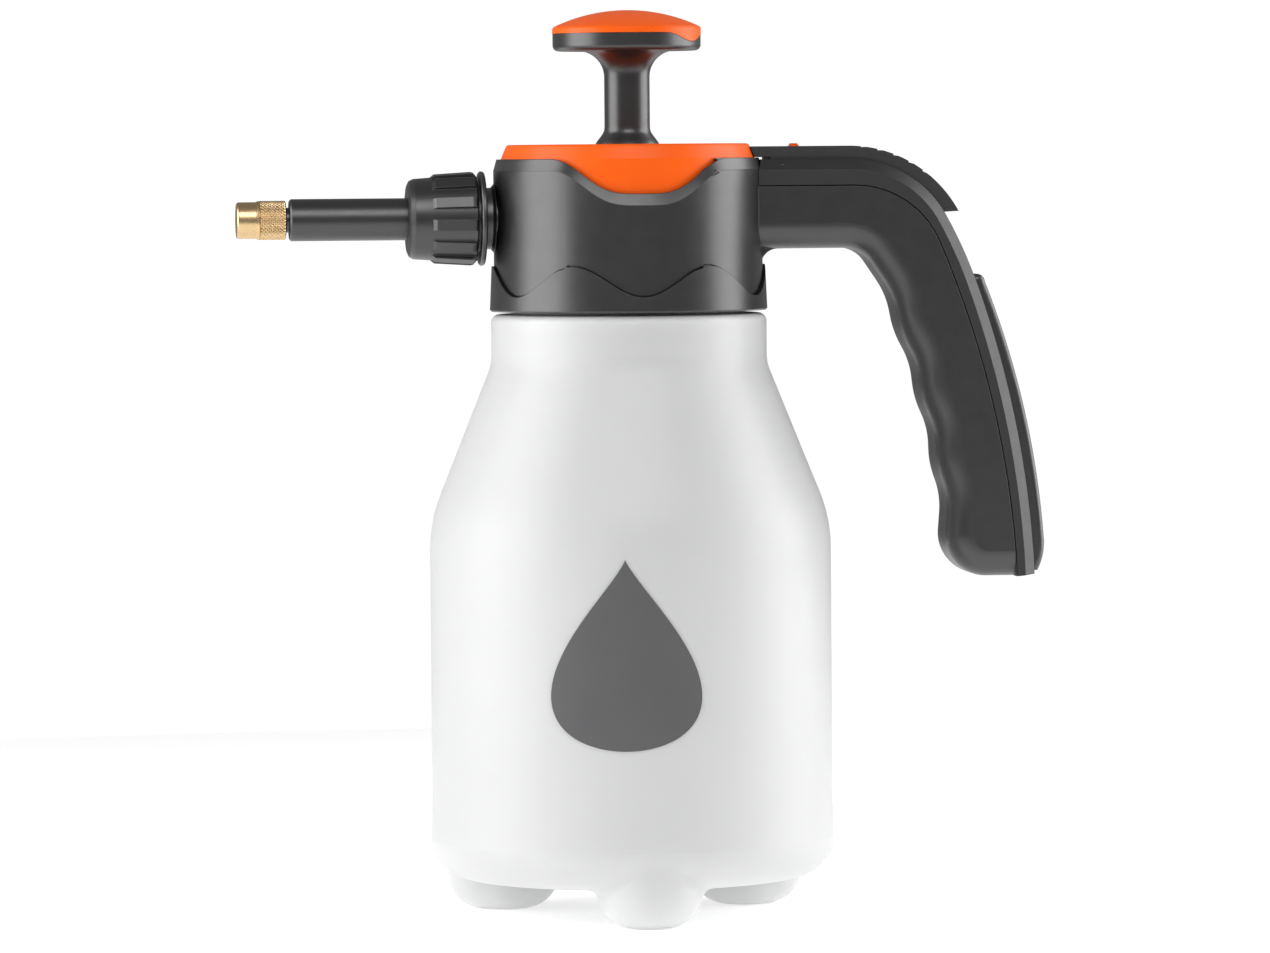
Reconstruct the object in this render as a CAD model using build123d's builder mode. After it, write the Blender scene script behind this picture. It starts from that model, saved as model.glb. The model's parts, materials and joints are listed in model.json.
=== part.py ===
from build123d import *

import os
from math import atan2, cos, degrees, pi, radians, sin, sqrt, tan

# Hand pump sprayer: a translucent tank on three feet, a screw-on head with a plunger pump,
# a side handle with a thumb trigger, and a lance with a brass nozzle.
# Millimetres. Origin on the tank's axis at the standing plane, +Z up, nozzle towards -X,
# handle towards +X.

# ---- driving dimensions ----
# tank
TANK_R = 63.2
TANK_FOOT_R = 63.9
TANK_WALL = 1.6
TANK_UNDERSIDE_Z = 12.0
TANK_CORNER_R = 12.0
STRAIGHT_TOP_Z = 124.2
SLOPE_TAN = 0.4007
SHOULDER_R = 43.4
SHOULDER_Z = 189.3
NECK_R = 36.5
MOUTH_R = 34.9
NECK_TOP_Z = 205.0
FOOT_COUNT = 3
FOOT_CENTRE_R = 45.0
FOOT_R = 16.3
FOOT_STRETCH = 3.0
FOOT_DOME_R = 11.0
# head thread
THREAD_PITCH = 6.0
THREAD_TURNS = 1.5
THREAD_CREST_R = 37.9
RING_THREAD_R = 37.1
THREAD_START_Z = 192.6
# screw ring
RING_Z = 190.2
RING_FLOOR = 1.5
RING_R = 43.7
RING_CREST_R = 43.1
RING_CREST_Z = 204.5
RING_WAVE = 9.5
RING_WAVES = 6
SLEEVE_R = 39.8
SLEEVE_BORE_R = 38.5
# head housing
HEAD_R = 42.3
HEAD_BORE_R = 40.1
RIM_Z = 238.0
DIP_DEPTH = 10.9
DIP_HALF_ANGLE = 40.5
REBATE_H = 3.6
REBATE_R = 41.2
DECK_Z = 207.0
DECK_T = 2.5
LEDGE_Z = 222.5
LEDGE_T = 2.5
# top cover
COVER_TOP_Z = 242.5
COVER_TOP_R = 38.0
DISH_Z = 234.0
DISH_T = 2.0
# pump
BARREL_R = 15.0
BARREL_BORE_R = 13.5
BARREL_Z = 120.0
BARREL_TOP_Z = 229.0
ROD_R = 4.0
ROD_GUIDE_R = 4.05
PISTON_Z = 126.0
STEM_R = 7.15
KNOB_Z = 271.8
KNOB_R = 23.3
KNOB_SPLIT_Z = 277.3
KNOB_TOP_Z = 284.6
# handle and spine
HANDLE_W = 30.0
BRIDGE_Z = 209.35
HANDLE_FILLET = 8.0
PARTING_Z = 228.9
SPINE_Z = 237.4
SLOT_W = 20.6
# trigger
TRIGGER_W = 20.0
TRIGGER_Z = 241.5
TRIGGER_T = 5.0
PIVOT_X = 47.5
PIVOT_Z = 234.2
PIN_R = 1.5
# spray valve
VALVE_X = 64.0
INLET_Z = 214.2
# nozzle side, all on one level axis
NOZZLE_Z = 219.5
TUBE_R = 2.2
TUBE_BORE_R = 1.4
BARB_BORE_R = 0.8
LANCE_R = 6.6
LANCE_TIP_X = -106.8
NUT_FACE_X = -69.8
NUT_END_X = -48.1
NUT_RIBS = 12
# pressure relief, in the cover's dish beside the pump
RELIEF_X = 12.0
RELIEF_Y = 20.8
# dip tube
DIP_X = 24.0
DIP_END_Z = 20.0

UP = (Align.CENTER, Align.CENTER, Align.MIN)
NOZZLE_AXIS = Axis((0, 0, NOZZLE_Z), (1, 0, 0))
os.makedirs("parts", exist_ok=True)


def save(piece, name):
    piece.part.label = name
    export_step(piece.part, f"parts/{name}.step")


def hypot_xy(point):
    return sqrt(point.X**2 + point.Y**2)


def upright_face(*corners):
    """Face in the X-Z plane with straight sides."""
    with BuildSketch(Plane.XZ) as face:
        with BuildLine():
            Polyline(*corners, close=True)
        make_face()
    return face.sketch


def rounded_face(corners, radii):
    """Half section in the X-Z plane, from the axis round its filleted corners and back."""
    with BuildSketch(Plane.XZ) as face:
        with BuildLine():
            FilletPolyline(*corners, radius=radii)
            Line(corners[-1], corners[0])
        make_face()
    return face.sketch


def along_nozzle(*corners):
    """Ring section from (x, radius) corners, ready to turn about the nozzle axis."""
    return upright_face(*[(x, NOZZLE_Z + r) for x, r in corners])


def facing(angle):
    """Upright plane through the Z axis that looks outward at an angle from +X."""
    a = radians(angle)
    return Plane(origin=(0, 0, 0), x_dir=(-sin(a), cos(a), 0), z_dir=(cos(a), sin(a), 0))


def nozzle_plane(angle):
    """Plane through the nozzle axis, turned about it; its y points away from the axis."""
    a = radians(angle)
    return Plane(origin=(0, 0, NOZZLE_Z), x_dir=(1, 0, 0), z_dir=(0, -cos(a), -sin(a)))


def wave_face(angle, radius, top_z, depth, half_angle, full=False, steps=8):
    """Face that hangs from a level line; its lower edge is one cosine wave, or a fuller one."""
    wave = []
    for i in range(2 * steps + 1):
        a = radians(half_angle) * (i / steps - 1)
        share = (1 + cos(pi * (i / steps - 1))) / 2
        if full:
            share = sin(pi / 2 * share)
        wave.append((radius * sin(a), top_z - depth * share))
    with BuildSketch(facing(angle)) as face:
        with BuildLine():
            Spline(*wave, tangents=[(1, 0), (1, 0)])
            Line(wave[-1], wave[0])
        make_face()
    return face.sketch


def tube_along(path, outer, inner):
    """Hollow tube along a path of lines and tangent arcs."""
    with BuildPart() as tube:
        with BuildSketch(Plane(path @ 0, z_dir=path % 0)):
            Circle(outer)
            Circle(inner, mode=Mode.SUBTRACT)
        sweep(path=path)
    return tube


def ridge(radius_root, radius_tip, start_z, side):
    """Helical thread ridge between two radii; side is +1 for an outside thread, -1 for an inside one."""
    with BuildPart() as thread:
        with BuildLine() as run:
            Helix(
                pitch=THREAD_PITCH,
                height=THREAD_PITCH * THREAD_TURNS,
                radius=radius_root,
                center=(0, 0, start_z),
            )
        with BuildSketch(Plane(run.line @ 0, x_dir=(1, 0, 0), z_dir=run.line % 0)):
            depth = radius_tip - radius_root
            with BuildLine():
                Polyline(
                    (-0.3 * side, -1.3), (depth, -0.6), (depth, 0.6), (-0.3 * side, 1.3), close=True
                )
            make_face()
        sweep(is_frenet=True)
    return thread.part


# ---- tank ----
def slope_z(radius, inset):
    """Height at which the sloping shoulder, moved in by the inset, has a given radius."""
    reach = TANK_R - inset * sqrt(1 + SLOPE_TAN**2) - radius
    return STRAIGHT_TOP_Z + reach / SLOPE_TAN


def tank_face(inset, neck_r, top_z):
    """Half section of the tank, or of its cavity when moved in by the wall thickness."""
    waist_r = TANK_R - inset
    shoulder_r = SHOULDER_R - inset
    corners = [
        (0, TANK_UNDERSIDE_Z + inset),
        (TANK_FOOT_R - inset, TANK_UNDERSIDE_Z + inset),
        (waist_r, 38),
        (waist_r, slope_z(waist_r, inset)),
        (shoulder_r, slope_z(shoulder_r, inset)),
        (shoulder_r, SHOULDER_Z - inset),
        (neck_r, SHOULDER_Z - inset),
        (neck_r, top_z),
        (0, top_z),
    ]
    radii = [TANK_CORNER_R - inset, 60, 48 - inset, 14 + inset, 2.6, 0.8, 0.3]
    return rounded_face(corners, radii)


def foot_face(inset):
    """Half section of a foot, from its middle out."""
    foot_r = FOOT_R - inset
    corners = [(0, inset), (foot_r, inset), (foot_r, 30), (0, 30)]
    return rounded_face(corners, [FOOT_DOME_R - inset, 1.0])


def tank_solid(inset, neck_r, top_z, web_r):
    with BuildPart() as foot_end:
        revolve(foot_face(inset), axis=Axis.Z)
    with BuildPart() as foot:
        for x in (-FOOT_STRETCH / 2, FOOT_STRETCH / 2):
            with Locations((x, 0, 0)):
                add(foot_end.part)
        for turn_by in (90, -90):
            side = foot_face(inset).rotate(Axis.Z, turn_by)
            extrude(side, amount=FOOT_STRETCH / 2, both=True)
    with BuildPart() as solid:
        revolve(tank_face(inset, neck_r, top_z), axis=Axis.Z)
        with PolarLocations(FOOT_CENTRE_R, FOOT_COUNT, start_angle=-90):
            add(foot.part)
        roots = solid.edges().filter_by(
            lambda e: TANK_UNDERSIDE_Z + inset - 0.1 < e.center().Z < 20
            and hypot_xy(e.center()) > 20
            and hypot_xy(e.center()) < 60
            and e.geom_type != GeomType.LINE
        )
        fillet(roots, web_r)
    return solid.part


with BuildPart() as tank_bottle:
    add(tank_solid(0, NECK_R, NECK_TOP_Z, 4.0))
    add(tank_solid(TANK_WALL, MOUTH_R, NECK_TOP_Z + 5, 2.4), mode=Mode.SUBTRACT)
    add(ridge(NECK_R, THREAD_CREST_R, THREAD_START_Z, 1))
save(tank_bottle, "tank_bottle")

with BuildPart() as neck_gasket:
    with Locations((0, 0, NECK_TOP_Z + 0.2)):
        Cylinder(NECK_R, 1.6, align=UP)
        Cylinder(MOUTH_R, 1.6, align=UP, mode=Mode.SUBTRACT)
save(neck_gasket, "neck_gasket")

# ---- screw ring ----
def wavy_wall(inner_r, outer_r, lift):
    """Ring wall whose top edge runs parallel to the screw ring's waves, raised by the lift."""
    with Locations((0, 0, RING_Z)):
        Cylinder(outer_r, RING_CREST_Z + lift - RING_Z, align=UP)
        Cylinder(inner_r, RING_CREST_Z + lift - RING_Z, align=UP, mode=Mode.SUBTRACT)
    for i in range(RING_WAVES):
        at = -90 + i * 360 / RING_WAVES
        extrude(
            wave_face(at, RING_CREST_R, RING_CREST_Z + lift, RING_WAVE, 180 / RING_WAVES),
            amount=60,
            mode=Mode.SUBTRACT,
        )


KEY_COUNT = 6
with BuildPart() as screw_ring:
    revolve(
        upright_face(
            (HEAD_R + 0.2, RING_Z), (RING_R - 0.5, RING_Z), (RING_R, RING_Z + 0.5),
            (RING_CREST_R, RING_CREST_Z), (HEAD_R + 0.2, RING_CREST_Z),
        ),
        axis=Axis.Z,
    )
    for i in range(RING_WAVES):
        at = -90 + i * 360 / RING_WAVES
        extrude(
            wave_face(at, RING_CREST_R, RING_CREST_Z, RING_WAVE, 180 / RING_WAVES),
            amount=60,
            mode=Mode.SUBTRACT,
        )
    with Locations((0, 0, RING_Z)):
        Cylinder(RING_R - 0.8, RING_FLOOR, align=UP)
        Cylinder(SLEEVE_R, DECK_Z - RING_Z - 1, align=UP)
    with PolarLocations(SLEEVE_R, KEY_COUNT):
        with Locations((0, 0, RING_Z)):
            Box(2.6, 4, 9, align=UP)
    with Locations((0, 0, RING_Z)):
        Cylinder(SLEEVE_BORE_R, DECK_Z - RING_Z, align=UP, mode=Mode.SUBTRACT)
    add(ridge(SLEEVE_BORE_R, RING_THREAD_R, THREAD_START_Z + THREAD_PITCH / 2, -1))
save(screw_ring, "screw_ring")


# ---- handle outlines ----


def grip_x(z):
    """Finger side of the grip: a gentle bow with a ripple of one finger pitch."""
    t = z - 160
    return 93.07 - 0.26 * t - 0.002 * t**2 + 0.86 * sin(2 * pi * (t - 7.2) / 21.05)


def bend_down(start, arcs):
    """Tangent arcs, each a radius and a turn, that take a level line down along the grip."""
    tangent = (1, 0)
    for radius, turn in arcs:
        arc = JernArc(start=start, tangent=tangent, radius=radius, arc_size=-turn)
        start = arc @ 1
        tangent = arc % 1
    return arc


def parting_line(start_x, lift=0):
    """Line where the handle body and its spine meet, moved out from the grip by the lift."""
    Line((start_x, PARTING_Z + lift), (70, PARTING_Z + lift))
    return bend_down((70, PARTING_Z + lift), [(29 + lift, 67), (309 + lift, 20.24)])


SPINE_ARCS = [(35.0, 61.0), (137.5, 9.24), (316.9, 17.24)]


def spine_line(start_x):
    Line((start_x, SPINE_Z), (69, SPINE_Z))
    return bend_down((69, SPINE_Z), SPINE_ARCS)


KNUCKLE_R = 10.0
KNUCKLE_TURN = 56.0
RIPPLE_TOP_Z = 198.775
RIPPLE_HALF = 10.525
RIPPLE_COUNT = 7
TOE_R = 13.0


def side_plane(width):
    """Upright plane at the far side of something of this width; extrude by the width."""
    return Plane.XZ.offset(-width / 2)


with BuildPart() as grip:
    with BuildSketch(side_plane(HANDLE_W)):
        with BuildLine():
            turn = radians(KNUCKLE_TURN)
            fall = BRIDGE_Z - KNUCKLE_R * (1 - cos(turn)) - RIPPLE_TOP_Z
            bend_x = grip_x(RIPPLE_TOP_Z) - fall / tan(turn) - KNUCKLE_R * sin(turn)
            under = Line((30, BRIDGE_Z), (bend_x, BRIDGE_Z))
            knuckle = JernArc(start=under @ 1, tangent=(1, 0), radius=KNUCKLE_R, arc_size=-KNUCKLE_TURN)
            last = Line(knuckle @ 1, (grip_x(RIPPLE_TOP_Z), RIPPLE_TOP_Z))
            for i in range(1, RIPPLE_COUNT + 1):
                z = RIPPLE_TOP_Z - i * RIPPLE_HALF
                last = TangentArc(last @ 1, (grip_x(z), z), tangent=last % 1)
            # straight on from the last ripple, then round the toe to a level end
            back = parting_line(30)
            heading = last % 1
            fall = (last @ 1 - back @ 1).Y - TOE_R * (1 - heading.X)
            last = Line(last @ 1, last @ 1 - heading * (fall / heading.Y))
            toe_turn = degrees(atan2(-heading.Y, heading.X))
            toe = JernArc(start=last @ 1, tangent=heading, radius=TOE_R, arc_size=toe_turn)
            Line(toe @ 1, back @ 1)
            Line((30, PARTING_Z), (30, BRIDGE_Z))
        make_face()
    extrude(amount=HANDLE_W)
    finger_arc = grip.edges().filter_by(GeomType.CIRCLE).sort_by_distance((94, 15, 156))[0]
    other_arc = grip.edges().filter_by(GeomType.CIRCLE).sort_by_distance((94, -15, 156))[0]
    fillet([finger_arc, other_arc], HANDLE_FILLET)

ROOT_W = 16.0
with BuildPart() as root_web:
    with BuildSketch(side_plane(ROOT_W)) as web_face:
        with BuildLine():
            Polyline(
                (34, BRIDGE_Z + 1), (48, BRIDGE_Z + 1), (48, BRIDGE_Z), (41, BRIDGE_Z),
                (41, BRIDGE_Z - 6.5), (34, BRIDGE_Z - 6.5), close=True,
            )
        make_face()
        crook = web_face.vertices().sort_by_distance((41, BRIDGE_Z, 0))[0]
        fillet(crook, 5.5)
    extrude(amount=ROOT_W)

# ---- head housing, in one moulding with the body of the handle ----
WINDOW_W = 11.0
POCKET_W = 22.0
SCREW_PLACES = [(104.0, 186.0, -20), (113.6, 150.0, -12), (118.3, 121.0, -5)]
SCREW_R = 1.5
SCREW_HEAD_R = 3.0


def screw_plane(x, z, tilt):
    """Plane square to the parting line; its normal points out of the back of the grip."""
    a = radians(tilt)
    return Plane(origin=(x, 0, z), x_dir=(0, 1, 0), z_dir=(cos(a), 0, -sin(a)))


# groove in the skirt just above the screw ring's wavy edge
SHADOW_W = 0.45
with BuildPart() as below_shadow:
    wavy_wall(HEAD_R - 0.9, HEAD_R + 0.4, 0)
with BuildPart() as shadow_line:
    wavy_wall(HEAD_R - 0.8, HEAD_R + 0.3, SHADOW_W)
    add(below_shadow.part, mode=Mode.SUBTRACT)

with BuildPart() as head_housing:
    add(grip.part)
    add(root_web.part)
    with Locations((0, 0, DECK_Z - 20)):
        Cylinder(HEAD_R - 0.5, RIM_Z - DECK_Z + 25, align=UP, mode=Mode.SUBTRACT)
    # outer skin, which stops short of the rim and leaves a rebate all round it
    revolve(
        upright_face(
            (REBATE_R, RING_Z + 1.8), (HEAD_R, RING_Z + 1.8), (HEAD_R, RIM_Z - REBATE_H),
            (REBATE_R, RIM_Z - REBATE_H),
        ),
        axis=Axis.Z,
    )
    for at in (-90, 90):
        extrude(
            wave_face(at, HEAD_R, RIM_Z - REBATE_H + 0.01, DIP_DEPTH, DIP_HALF_ANGLE, full=True),
            amount=60,
            mode=Mode.SUBTRACT,
        )
    add(shadow_line.part, mode=Mode.SUBTRACT)
    revolve(
        upright_face(
            (HEAD_BORE_R, RING_Z + 1.8), (REBATE_R, RING_Z + 1.8), (REBATE_R, RIM_Z),
            (HEAD_BORE_R, RIM_Z), (HEAD_BORE_R, LEDGE_Z + LEDGE_T), (HEAD_BORE_R - 2.2, LEDGE_Z + LEDGE_T),
            (HEAD_BORE_R - 2.2, LEDGE_Z), (HEAD_BORE_R, LEDGE_Z - 2.2), (HEAD_BORE_R, DECK_Z + DECK_T),
            (0, DECK_Z + DECK_T), (0, DECK_Z), (HEAD_BORE_R, DECK_Z),
        ),
        axis=Axis.Z,
    )
    # dips of the rim, front and back
    for at in (-90, 90):
        extrude(
            wave_face(at, HEAD_R, RIM_Z + 0.01, DIP_DEPTH, DIP_HALF_ANGLE, full=True),
            amount=60,
            mode=Mode.SUBTRACT,
        )
    # openings in the deck: pump barrel, dip tube spigot, relief valve
    with Locations((0, 0, DECK_Z)):
        Cylinder(BARREL_R + 0.1, DECK_T, align=UP, mode=Mode.SUBTRACT)
    with Locations((DIP_X, 0, DECK_Z - 9)):
        Cylinder(2.05, 9, align=UP)
    with Locations((DIP_X, 0, DECK_Z + DECK_T)):
        Cylinder(TUBE_BORE_R, 1.9, align=UP)
    with Locations((DIP_X, 0, DECK_Z - 9)):
        Cylinder(BARB_BORE_R, 16, align=UP, mode=Mode.SUBTRACT)
    with Locations((RELIEF_X, RELIEF_Y, DECK_Z)):
        Cylinder(1.6, DECK_T, align=UP, mode=Mode.SUBTRACT)
    # key slots of the skirt, on the screw ring's keys
    with PolarLocations(SLEEVE_R, KEY_COUNT):
        with Locations((0, 0, RING_Z + 1)):
            Box(2.8, 4.2, 8.7, align=UP, mode=Mode.SUBTRACT)
    # outlet hole, hose window and the two pockets of the handle
    with BuildSketch(Plane(origin=(-HEAD_R - 2, 0, NOZZLE_Z), z_dir=(1, 0, 0))):
        Circle(7.05)
    extrude(amount=6, mode=Mode.SUBTRACT)
    with Locations((44, 0, 211.6)):
        Box(14, WINDOW_W, LEDGE_Z - 211.6 - 0.1, align=UP, mode=Mode.SUBTRACT)
    with Locations((60, 0, 211.6)):
        Box(30, 24, 30, align=UP, mode=Mode.SUBTRACT)
    for low_z, high_z in ((111, 116), (126, 145), (155, 181)):
        with BuildSketch(side_plane(POCKET_W)):
            with BuildLine():
                Polyline(
                    (grip_x(low_z) + 4.5, low_z), (150, low_z), (150, high_z),
                    (grip_x(high_z) + 4.5, high_z), close=True,
                )
            make_face()
        extrude(amount=POCKET_W, mode=Mode.SUBTRACT)
    for x, z, tilt in SCREW_PLACES:
        with BuildSketch(screw_plane(x, z, tilt).offset(4)):
            Circle(SCREW_R)
        extrude(amount=-14, mode=Mode.SUBTRACT)
save(head_housing, "head_housing")

# ---- top cover ----
with BuildPart() as top_cover:
    revolve(
        upright_face(
            (HEAD_BORE_R - 2.1, 225), (HEAD_BORE_R - 0.2, 225), (HEAD_BORE_R - 0.2, 231),
            (HEAD_BORE_R - 0.2, RIM_Z), (COVER_TOP_R + 0.4, COVER_TOP_Z - 0.8),
            (COVER_TOP_R + 0.1, COVER_TOP_Z - 0.3), (COVER_TOP_R - 0.5, COVER_TOP_Z),
            (36.2, COVER_TOP_Z), (35.6, COVER_TOP_Z - 0.5), (31.5, DISH_Z), (10.5, DISH_Z),
            (10.5, DISH_Z - DISH_T), (33.0, DISH_Z - DISH_T), (37.0, 236), (HEAD_BORE_R - 2.1, 231),
        ),
        axis=Axis.Z,
    )
    with Locations((RELIEF_X, RELIEF_Y, DISH_Z - DISH_T)):
        Cylinder(2.0, DISH_T, align=UP, mode=Mode.SUBTRACT)
save(top_cover, "top_cover")

# ---- handle spine: back shell of the handle, with the trigger's channel and the strap's recess ----
STRAP_W = 19.0
STRAP_TOP_Z = 200.8
STRAP_ROOT_X = 107.2
STRAP_ROOT_TURN = 69.5
STRAP_EDGE_R = 2.0
SPINE_CHAMFER = 3.4
PARTING_W = 0.4
PARTING_DEPTH = 1.2

def strap_root(shift, turn):
    """Line where the strap sits in the spine, moved by the shift."""
    a = radians(STRAP_ROOT_TURN)
    return JernArc(
        start=(STRAP_ROOT_X + shift, STRAP_TOP_Z - shift), tangent=(cos(a), -sin(a)),
        radius=SPINE_ARCS[-1][0], arc_size=-turn,
    )


with BuildPart() as handle_spine:
    with BuildSketch(side_plane(HANDLE_W)):
        with BuildLine():
            below = parting_line(36)
            above = spine_line(36)
            Line((36, PARTING_Z), (36, SPINE_Z))
            Line(below @ 1, above @ 1)
        make_face()
    extrude(amount=HANDLE_W)
    outer_chain = handle_spine.edges().filter_by(
        lambda e: abs(abs((e @ 0.5).Y) - HANDLE_W / 2) < 0.01
        and (
            (e @ 0.5).Z > SPINE_Z - 0.01
            or e.geom_type == GeomType.CIRCLE
            and min(abs(e.radius - radius) for radius, turn in SPINE_ARCS) < 0.1
        )
    )
    chamfer(outer_chain, SPINE_CHAMFER)
    with Locations((0, 0, PARTING_Z - 10)):
        Cylinder(HEAD_R + 0.05, 30, align=UP, mode=Mode.SUBTRACT)
    # groove along the parting line, on both sides
    for y in (HANDLE_W / 2, PARTING_DEPTH - HANDLE_W / 2):
        with BuildSketch(Plane.XZ.offset(-y)):
            with BuildLine():
                low = parting_line(36)
                high = parting_line(36, PARTING_W)
                Line((36, PARTING_Z), (36, PARTING_Z + PARTING_W))
                Line(low @ 1, high @ 1)
            make_face()
        extrude(amount=PARTING_DEPTH, mode=Mode.SUBTRACT)
    # channel for the trigger
    with BuildSketch(side_plane(SLOT_W)):
        with BuildLine():
            Line((38, PARTING_Z + 1.6), (70, PARTING_Z + 1.6))
            floor_arc = JernArc(start=(70, PARTING_Z + 1.6), tangent=(1, 0), radius=30.6, arc_size=-66)
            Line(floor_arc @ 1, (112, (floor_arc @ 1).Y))
            Line((112, (floor_arc @ 1).Y), (112, 245))
            Line((112, 245), (38, 245))
            Line((38, 245), (38, PARTING_Z + 1.6))
        make_face()
    extrude(amount=SLOT_W, mode=Mode.SUBTRACT)
    # recess for the strap
    with BuildSketch(side_plane(STRAP_W + 0.8)):
        with BuildLine():
            shelf = strap_root(-0.1, 17.5)
            Line(shelf @ 1, (140, (shelf @ 1).Y))
            Line((140, (shelf @ 1).Y), (140, STRAP_TOP_Z + 0.1))
            Line((140, STRAP_TOP_Z + 0.1), shelf @ 0)
        make_face()
    extrude(amount=STRAP_W + 0.8, mode=Mode.SUBTRACT)
    for x, z, tilt in SCREW_PLACES:
        with BuildSketch(screw_plane(x, z, tilt)):
            Circle(SCREW_R + 0.1)
        extrude(amount=12, both=True, mode=Mode.SUBTRACT)
        with BuildSketch(screw_plane(x, z, tilt).offset(3.0)):
            Circle(SCREW_HEAD_R + 0.2)
        extrude(amount=8, mode=Mode.SUBTRACT)
    with Locations((PIVOT_X, 0, PIVOT_Z)):
        Cylinder(PIN_R, HANDLE_W - 3, rotation=(90, 0, 0), mode=Mode.SUBTRACT)
    with Locations((VALVE_X, 0, PARTING_Z - 1)):
        Cylinder(2.2, 4, align=UP, mode=Mode.SUBTRACT)
save(handle_spine, "handle_spine")

with BuildPart() as handle_screws:
    for x, z, tilt in SCREW_PLACES:
        with BuildSketch(screw_plane(x, z, tilt).offset(-9)):
            Circle(SCREW_R)
        extrude(amount=12)
        with BuildSketch(screw_plane(x, z, tilt).offset(3.0)):
            Circle(SCREW_HEAD_R)
        extrude(amount=1.8)
        with BuildSketch(screw_plane(x, z, tilt).offset(4.0)):
            Rectangle(3.6, 0.8)
            Rectangle(0.8, 3.6)
        extrude(amount=1.0, mode=Mode.SUBTRACT)
save(handle_screws, "handle_screws")

# ---- strap on the back of the handle ----
with BuildPart() as back_strap:
    with BuildSketch(side_plane(STRAP_W)):
        with BuildLine():
            inner = strap_root(0, 17.4)
            outer = JernArc(start=(112.3, 198.6), tangent=(0.366, -0.931), radius=276.7, arc_size=-17.4)
            heel = TangentArc(outer @ 1, (128.7, (inner @ 1).Y), tangent=outer % 1)
            Line(heel @ 1, inner @ 1)
            Line(inner @ 0, (109.8, STRAP_TOP_Z))
            TangentArc((109.8, STRAP_TOP_Z), outer @ 0, tangent=(1, 0))
        make_face()
    extrude(amount=STRAP_W)
    outer_edges = back_strap.edges().filter_by(
        lambda e: e.geom_type == GeomType.CIRCLE
        and abs(abs((e @ 0.5).Y) - STRAP_W / 2) < 0.01
        and abs(e.radius - SPINE_ARCS[-1][0]) > 1
    )
    fillet(outer_edges, STRAP_EDGE_R)
save(back_strap, "back_strap")

# ---- pump barrel and what closes it ----
FLANGE_R = 19.0
GASKET_T = 1.5
SEAT_Z = DECK_Z + DECK_T
VALVE_HOLES = 6

with BuildPart() as pump_barrel:
    revolve(
        upright_face(
            (0, BARREL_Z), (BARREL_R - 1, BARREL_Z), (BARREL_R, BARREL_Z + 1),
            (BARREL_R, SEAT_Z + GASKET_T), (FLANGE_R, SEAT_Z + GASKET_T),
            (FLANGE_R, SEAT_Z + GASKET_T + 2.5), (BARREL_R, SEAT_Z + GASKET_T + 2.5),
            (BARREL_R, BARREL_TOP_Z), (BARREL_BORE_R, BARREL_TOP_Z), (BARREL_BORE_R, BARREL_Z + 2),
            (0, BARREL_Z + 2),
        ),
        axis=Axis.Z,
    )
    with Locations((0, 0, BARREL_Z)):
        Cylinder(1.5, 2, align=UP, mode=Mode.SUBTRACT)
        with PolarLocations(6, VALVE_HOLES):
            Cylinder(1.0, 2, align=UP, mode=Mode.SUBTRACT)
save(pump_barrel, "pump_barrel")

with BuildPart() as barrel_gasket:
    with Locations((0, 0, SEAT_Z)):
        Cylinder(FLANGE_R - 0.5, GASKET_T, align=UP)
        Cylinder(BARREL_R + 0.1, GASKET_T, align=UP, mode=Mode.SUBTRACT)
save(barrel_gasket, "barrel_gasket")

with BuildPart() as check_valve:
    revolve(
        upright_face(
            (0, BARREL_Z - 2.2), (4, BARREL_Z - 2.0), (9, BARREL_Z - 0.9), (9, BARREL_Z),
            (1.4, BARREL_Z), (1.4, BARREL_Z + 2.1), (2.2, BARREL_Z + 2.1), (1.2, BARREL_Z + 3.6),
            (0, BARREL_Z + 3.6),
        ),
        axis=Axis.Z,
    )
save(check_valve, "check_valve")

CAP_NECK_R = 9.8
REST_Z = 236.0
with BuildPart() as barrel_cap:
    revolve(
        upright_face(
            (ROD_GUIDE_R, 224), (8, 224), (8, BARREL_TOP_Z), (BARREL_R + 0.1, BARREL_TOP_Z),
            (BARREL_R + 0.1, 219.5), (17, 219.5), (17, 231.5), (CAP_NECK_R, 231.5),
            (CAP_NECK_R, REST_Z - 0.5), (CAP_NECK_R - 0.5, REST_Z), (ROD_GUIDE_R, REST_Z),
        ),
        axis=Axis.Z,
    )
save(barrel_cap, "barrel_cap")

# ---- plunger ----
RING_GROOVE_R = 11.0
GROOVE_Z = PISTON_Z + 3.5
GROOVE_H = 3.2
ROD_TOP_Z = 262.0

with BuildPart() as pump_rod:
    with Locations((0, 0, PISTON_Z + 1)):
        Cylinder(ROD_R, ROD_TOP_Z - PISTON_Z - 1, align=UP)
save(pump_rod, "pump_rod")

with BuildPart() as piston:
    revolve(
        upright_face(
            (0, PISTON_Z), (BARREL_BORE_R - 1.3, PISTON_Z), (BARREL_BORE_R - 0.3, PISTON_Z + 1),
            (BARREL_BORE_R - 0.3, GROOVE_Z), (RING_GROOVE_R, GROOVE_Z),
            (RING_GROOVE_R, GROOVE_Z + GROOVE_H), (BARREL_BORE_R - 0.3, GROOVE_Z + GROOVE_H),
            (BARREL_BORE_R - 0.3, PISTON_Z + 10), (6.5, PISTON_Z + 10), (6.5, PISTON_Z + 14),
            (ROD_R, PISTON_Z + 14), (ROD_R, PISTON_Z + 1), (0, PISTON_Z + 1),
        ),
        axis=Axis.Z,
    )
save(piston, "piston")

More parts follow.
